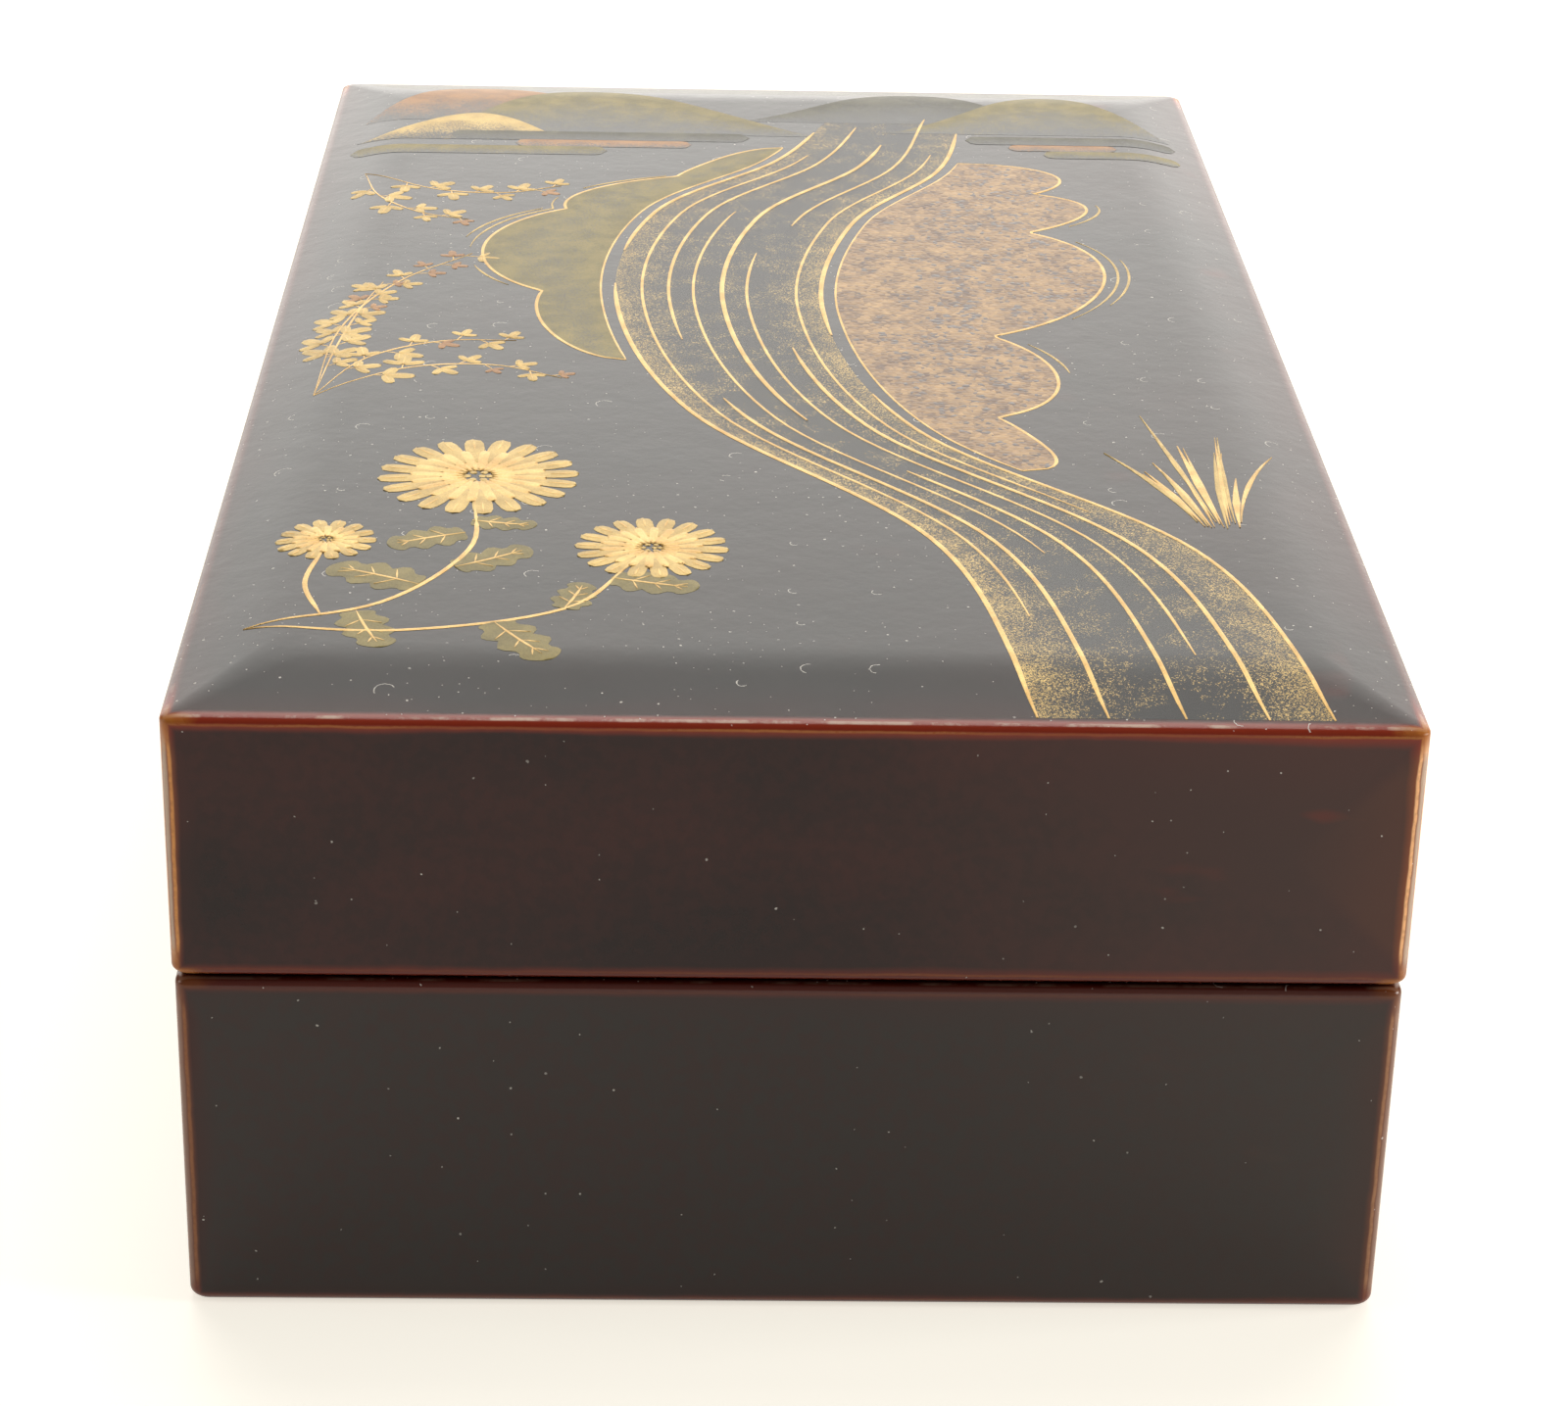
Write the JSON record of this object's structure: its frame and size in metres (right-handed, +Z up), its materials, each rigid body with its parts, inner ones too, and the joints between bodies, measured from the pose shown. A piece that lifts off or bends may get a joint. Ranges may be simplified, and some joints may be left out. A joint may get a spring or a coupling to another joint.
{
  "type": "lacquer box",
  "caption": "Rectangular dark brown lacquer box with a deep lift-off lid, a softly domed top and an inner lip that guides the lid.",
  "frame": {"origin": "centre of the footprint, on the surface that the box stands on", "axes": "+Z up, +Y along the box's length from the near end to the far end, +X across its width"},
  "size_m": [0.106, 0.189, 0.0595],
  "materials": {
    "outer_lacquer": "satin",
    "inner_lacquer": "satin",
    "cypress": "matte",
    "gold_powder": "satin"
  },
  "bodies": {
    "box_body": {"body_outer_lacquer": "outer_lacquer", "base_board": "cypress", "body_front_board": "cypress", "body_right_board": "cypress", "body_rear_board": "cypress", "body_left_board": "cypress", "lip_front_board": "cypress", "lip_right_board": "cypress", "lip_rear_board": "cypress", "lip_left_board": "cypress", "body_inner_lacquer": "inner_lacquer"},
    "lid": {"lid_outer_lacquer": "outer_lacquer", "lid_top_board": "cypress", "lid_front_board": "cypress", "lid_right_board": "cypress", "lid_rear_board": "cypress", "lid_left_board": "cypress", "lid_inner_lacquer": "inner_lacquer"}
  },
  "joints": [
    {"name": "lid_lift", "type": "slide", "parent": "box_body", "child": "lid", "axis": [0, 0, 1], "range_m": [0, 0.06]}
  ]
}
